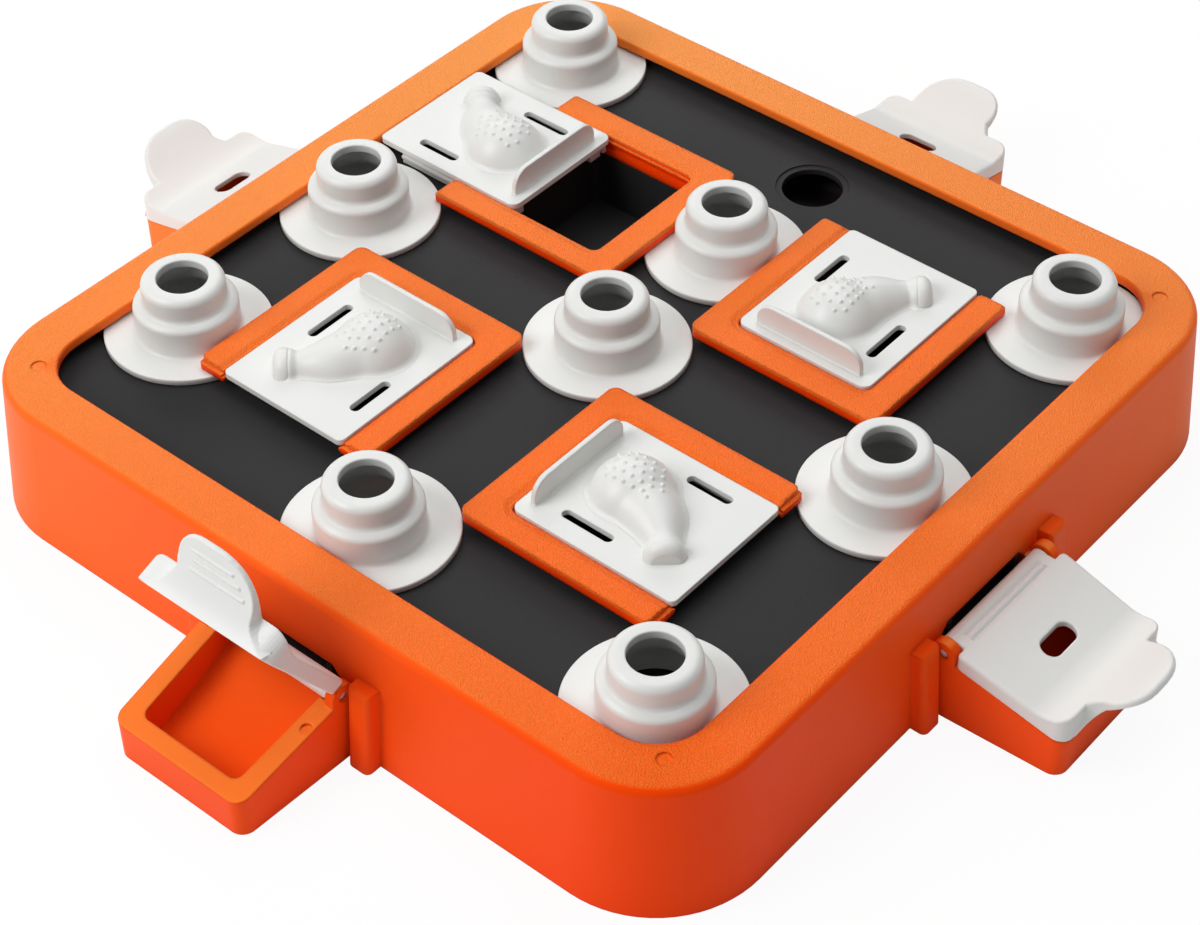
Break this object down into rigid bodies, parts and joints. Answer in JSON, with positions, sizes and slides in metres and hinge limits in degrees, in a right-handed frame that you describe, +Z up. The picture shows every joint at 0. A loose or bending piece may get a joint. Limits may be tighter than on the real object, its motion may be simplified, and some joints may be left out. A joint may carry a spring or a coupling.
{
  "type": "dog puzzle feeder toy",
  "caption": "Square puzzle feeder for dogs with stepped cups that slide along sunken streets, sliding lids over wells, and side trays under hinged flaps.",
  "frame": {"origin": "centre of the underside, on the ground plane", "axes": "+X out of the side of tray B, +Y out of the side of tray D, -Y out of the side of tray A with the open flap, +Z up"},
  "size_m": [0.4058, 0.3904, 0.079],
  "materials": {
    "orange_plastic": "moulded, fine leather grain on the upper faces",
    "white_plastic": "smooth satin",
    "dark_plastic": "smooth matte",
    "rubber": "matte",
    "steel": "zinc plated"
  },
  "bodies": {
    "body": {"housing": "orange_plastic", "deck": "dark_plastic", "deck_posts": "dark_plastic", "well_1": "dark_plastic", "well_2": "dark_plastic", "well_3": "dark_plastic", "well_4": "dark_plastic", "base_plate": "dark_plastic", "rubber_feet": "rubber", "base_screws": "steel", "chute_a": "dark_plastic", "chute_b": "dark_plastic", "chute_c": "dark_plastic", "chute_d": "dark_plastic", "frame_1": "orange_plastic", "frame_2": "orange_plastic", "frame_3": "orange_plastic", "frame_4": "orange_plastic", "tray_a": "orange_plastic", "tray_b": "orange_plastic", "tray_c": "orange_plastic", "tray_d": "orange_plastic"},
    "lid_1": {"slide_lid_1": "white_plastic"},
    "lid_2": {"slide_lid_2": "white_plastic"},
    "lid_3": {"slide_lid_3": "white_plastic"},
    "lid_4": {"slide_lid_4": "white_plastic"},
    "cup_1": {"cup_1": "white_plastic"},
    "cup_2": {"cup_2": "white_plastic"},
    "cup_3": {"cup_3": "white_plastic"},
    "cup_4": {"cup_4": "white_plastic"},
    "cup_5": {"cup_5": "white_plastic"},
    "cup_6": {"cup_6": "white_plastic"},
    "cup_7": {"cup_7": "white_plastic"},
    "cup_8": {"cup_8": "white_plastic"},
    "cup_9": {"cup_9": "white_plastic"},
    "flap_a": {"flap_a": "white_plastic"},
    "flap_b": {"flap_b": "white_plastic"},
    "flap_c": {"flap_c": "white_plastic"},
    "flap_d": {"flap_d": "white_plastic"}
  },
  "joints": [
    {"name": "lid_1_slide", "type": "slide", "parent": "body", "child": "lid_1", "axis": [1, 0, 0], "range_m": [0, 0.0343]},
    {"name": "lid_2_slide", "type": "slide", "parent": "body", "child": "lid_2", "axis": [0, -1, 0], "range_m": [0, 0.0343]},
    {"name": "lid_3_slide", "type": "slide", "parent": "body", "child": "lid_3", "axis": [0, 1, 0], "range_m": [0, 0.0343]},
    {"name": "lid_4_slide", "type": "slide", "parent": "body", "child": "lid_4", "axis": [1, 0, 0], "range_m": [0, 0.0343]},
    {"name": "cup_1_slide", "type": "slide", "parent": "body", "child": "cup_1", "axis": [1, 0, 0], "range_m": [0, 0.0516]},
    {"name": "cup_2_slide", "type": "slide", "parent": "body", "child": "cup_2", "axis": [1, 0, 0], "range_m": [0, 0.052]},
    {"name": "cup_3_slide", "type": "slide", "parent": "body", "child": "cup_3", "axis": [0, 1, 0], "range_m": [-0.0289, 0.023]},
    {"name": "cup_4_slide", "type": "slide", "parent": "body", "child": "cup_4", "axis": [0, 1, 0], "range_m": [-0.0055, 0.0465]},
    {"name": "cup_5_slide", "type": "slide", "parent": "body", "child": "cup_5", "axis": [1, 0, 0], "range_m": [0, 0.052]},
    {"name": "cup_6_slide", "type": "slide", "parent": "body", "child": "cup_6", "axis": [1, 0, 0], "range_m": [0, 0.026]},
    {"name": "cup_7_slide", "type": "slide", "parent": "body", "child": "cup_7", "axis": [0, 1, 0], "range_m": [0, 0.0081]},
    {"name": "cup_8_slide", "type": "slide", "parent": "body", "child": "cup_8", "axis": [0, 1, 0], "range_m": [0, 0.044]},
    {"name": "cup_9_slide", "type": "slide", "parent": "body", "child": "cup_9", "axis": [-1, 0, 0], "range_m": [0, 0.026]},
    {"name": "flap_a_hinge", "type": "hinge", "parent": "body", "child": "flap_a", "pos_m": [0, -0.1465, 0.025], "axis": [-1, 0, 0], "range_deg": [-69.2, 35.8]},
    {"name": "flap_b_hinge", "type": "hinge", "parent": "body", "child": "flap_b", "pos_m": [0.1465, 0, 0.025], "axis": [0, -1, 0], "range_deg": [0, 105]},
    {"name": "flap_c_hinge", "type": "hinge", "parent": "body", "child": "flap_c", "pos_m": [-0.1465, 0, 0.025], "axis": [0, 1, 0], "range_deg": [0, 105]},
    {"name": "flap_d_hinge", "type": "hinge", "parent": "body", "child": "flap_d", "pos_m": [0, 0.1465, 0.025], "axis": [1, 0, 0], "range_deg": [0, 105]}
  ]
}
